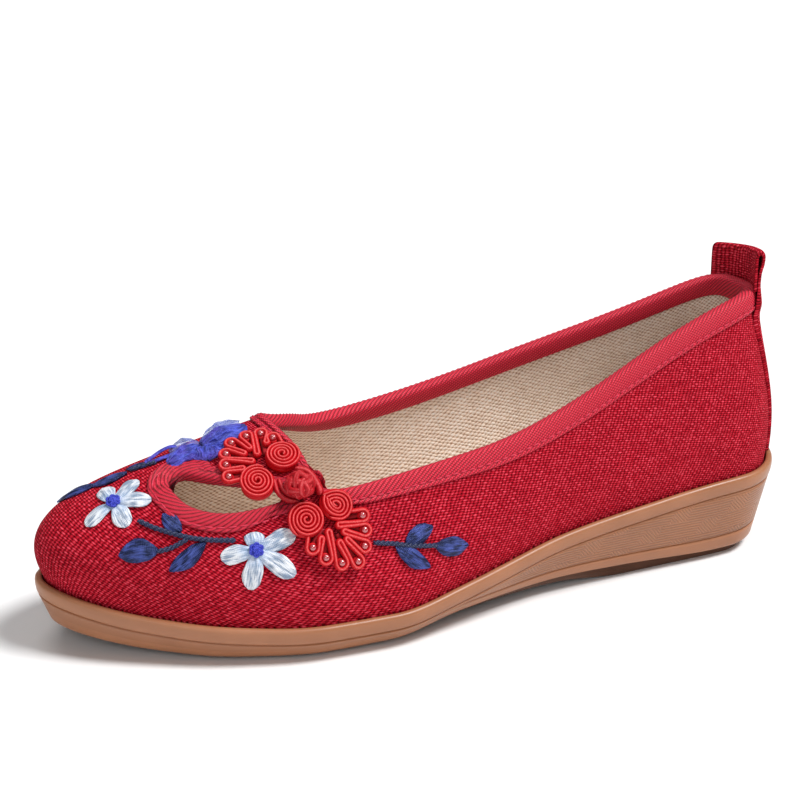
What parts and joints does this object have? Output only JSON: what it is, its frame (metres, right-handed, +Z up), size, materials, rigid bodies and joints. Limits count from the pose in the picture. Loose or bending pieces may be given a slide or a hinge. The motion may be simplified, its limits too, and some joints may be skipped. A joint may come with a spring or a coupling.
{
  "type": "cloth slip-on shoe",
  "caption": "Red canvas slip-on flat for the left foot, with a bound collar, instep strap over a teardrop cut-out, frog knot, ribbon flowers and a low wedge sole.",
  "frame": {"origin": "middle of the bounding box at the floor plane, where the tread stands", "axes": "+Z up, toe toward -X, heel toward +X, outer side of the left foot toward -Y"},
  "size_m": [0.2492, 0.084, 0.0983],
  "materials": {
    "canvas": "coarse plain-weave crimson canvas",
    "twill_tape": "folded twill tape, pinker red with a slight sheen",
    "satin_cord": "orange-red satin cord",
    "gum_sole": "tan gum rubber, matt with a soft sheen on the rim",
    "linen_lining": "beige plain-weave linen",
    "ribbon_white": "pale blue-white satin ribbon",
    "chiffon_blue": "royal blue chiffon",
    "ribbon_navy": "navy satin ribbon and twisted cord"
  },
  "bodies": {
    "root": {"outsole": "gum_sole", "upper": "canvas", "insole": "linen_lining", "binding_collar": "twill_tape", "binding_cutout": "twill_tape", "pull_tab": "canvas", "frog_strap_half": "satin_cord", "frog_side_half": "satin_cord", "frog_knot": "satin_cord", "flower_toe": "ribbon_white", "flower_side": "ribbon_white", "flower_blue": "chiffon_blue", "sprig_front": "ribbon_navy", "sprig_rear": "ribbon_navy", "sprig_toe": "ribbon_navy"}
  },
  "joints": []
}
